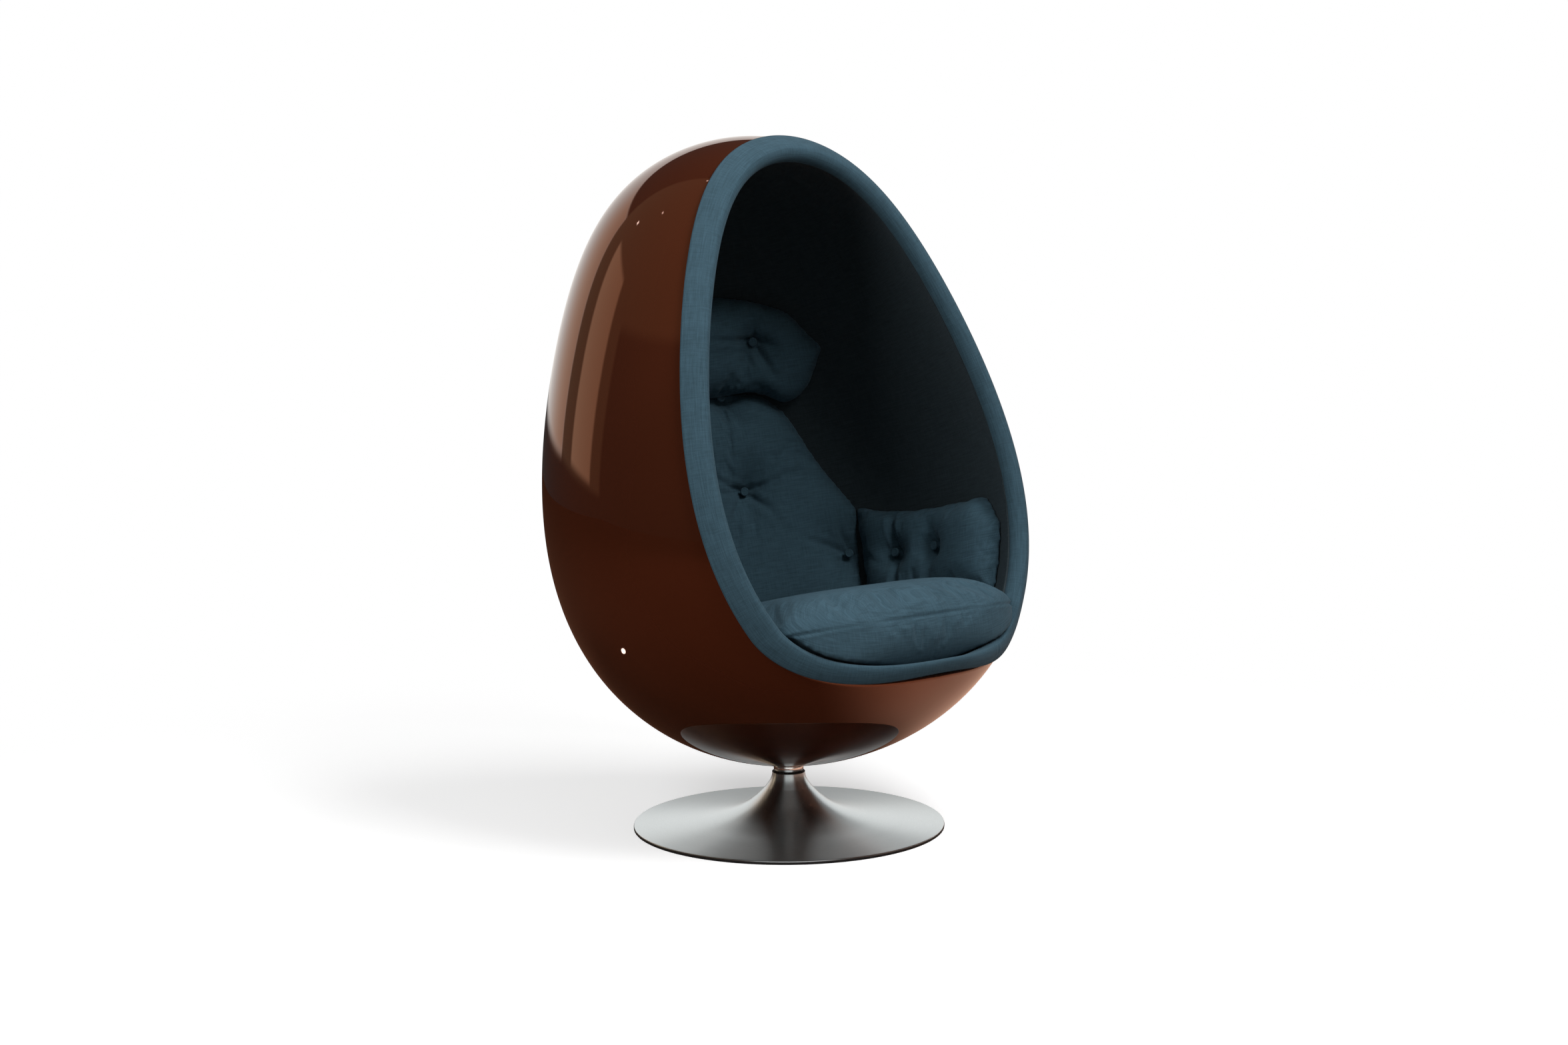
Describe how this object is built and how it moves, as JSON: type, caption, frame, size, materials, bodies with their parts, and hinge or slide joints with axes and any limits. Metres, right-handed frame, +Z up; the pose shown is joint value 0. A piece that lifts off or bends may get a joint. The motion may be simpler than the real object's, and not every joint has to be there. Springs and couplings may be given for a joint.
{
  "type": "pod chair",
  "caption": "Egg-shaped pod lounge chair: a glossy leaning shell with a padded lining, rim roll and cushions, turning on a trumpet pedestal base.",
  "frame": {"origin": "on the floor, below the swivel axis", "axes": "+Z up along the swivel axis, -Y the way the chair faces, +X to the sitter's left, seen from the front to the right"},
  "size_m": [0.8694, 0.8412, 1.2428],
  "materials": {
    "shell_gloss": "high-gloss lacquered glass fibre, dark brown",
    "rim_cloth": "woven blue-grey upholstery cloth on the rim roll",
    "cushion_cloth": "woven blue-grey upholstery cloth, seamed and tufted",
    "button_cloth": "buttons covered in the same cloth",
    "lining_cloth": "woven blue-grey cloth stretched over foam",
    "lining_foam": "open-cell foam",
    "brushed_steel": "spun sheet, brushed around the axis",
    "polished_steel": "polished or ground",
    "fastener_steel": "zinc plated",
    "base_iron": "black painted steel",
    "bush_bronze": "sintered bronze",
    "edge_rubber": "black",
    "plywood": "raw birch plywood"
  },
  "bodies": {
    "base": {"base_trumpet": "brushed_steel", "base_edge_ring": "edge_rubber", "ballast_plate": "base_iron", "column_flange": "base_iron", "column_tube": "base_iron", "flange_bolts": "fastener_steel", "neck_gasket": "edge_rubber", "upper_bush": "bush_bronze", "lower_bush": "bush_bronze", "bearing_lower_race": "polished_steel", "bearing_balls": "polished_steel", "bearing_cage": "bush_bronze"},
    "pod": {"bearing_upper_race": "polished_steel", "spindle": "polished_steel", "spindle_washer": "fastener_steel", "spindle_bolt": "fastener_steel", "stem_collar": "polished_steel", "mount_plate": "base_iron", "mount_bolts": "fastener_steel", "plate_screws": "fastener_steel", "bedding_pad": "plywood", "deck_battens": "plywood", "seat_deck": "plywood", "deck_screws": "fastener_steel", "shell": "shell_gloss", "lining_foam": "lining_foam", "lining_fabric": "lining_cloth", "rim_roll": "rim_cloth", "seat_cushion": "cushion_cloth", "back_cushion": "cushion_cloth", "head_cushion": "cushion_cloth", "arm_cushion_right": "cushion_cloth", "arm_cushion_left": "cushion_cloth", "back_buttons": "button_cloth", "head_buttons": "button_cloth", "arm_buttons": "button_cloth"}
  },
  "joints": [
    {"name": "seat_swivel", "type": "hinge", "parent": "base", "child": "pod", "pos_m": [0, 0, 0], "axis": [0, 0, 1], "continuous": true}
  ]
}
